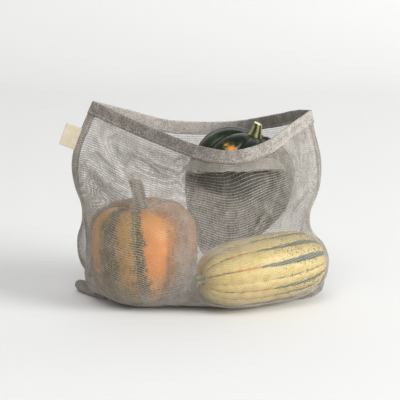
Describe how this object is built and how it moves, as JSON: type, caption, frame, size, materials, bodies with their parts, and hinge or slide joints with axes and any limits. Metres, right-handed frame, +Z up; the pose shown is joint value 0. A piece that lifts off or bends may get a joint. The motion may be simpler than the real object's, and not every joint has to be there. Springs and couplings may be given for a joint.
{
  "type": "mesh storage bag",
  "caption": "Soft cotton net bag standing open, with a folded hem, side seams, a woven tag and squashes resting inside.",
  "frame": {"origin": "middle of the bottom of the whole object's box, on the surface that it stands on", "axes": "+Z up, +X from the labelled left seam to the right seam, -Y towards the front of the bag"},
  "size_m": [0.2986, 0.1718, 0.2213],
  "materials": {
    "cotton_net": "undyed grey cotton net, matt, open square weave, denser in the folded hem and the seams",
    "cotton_tape": "cream woven tape, matt",
    "orange_rind": "ribbed squash rind, orange with grey-green and yellow stripes, satin",
    "green_rind": "ribbed dark green squash rind with an orange patch, waxy satin",
    "yellow_rind": "pale yellow squash rind with green and orange stripes in its grooves, satin"
  },
  "bodies": {
    "root": {"bag": "cotton_net", "label": "cotton_tape", "carnival_squash": "orange_rind", "acorn_squash": "green_rind", "delicata_squash": "yellow_rind"}
  },
  "joints": []
}
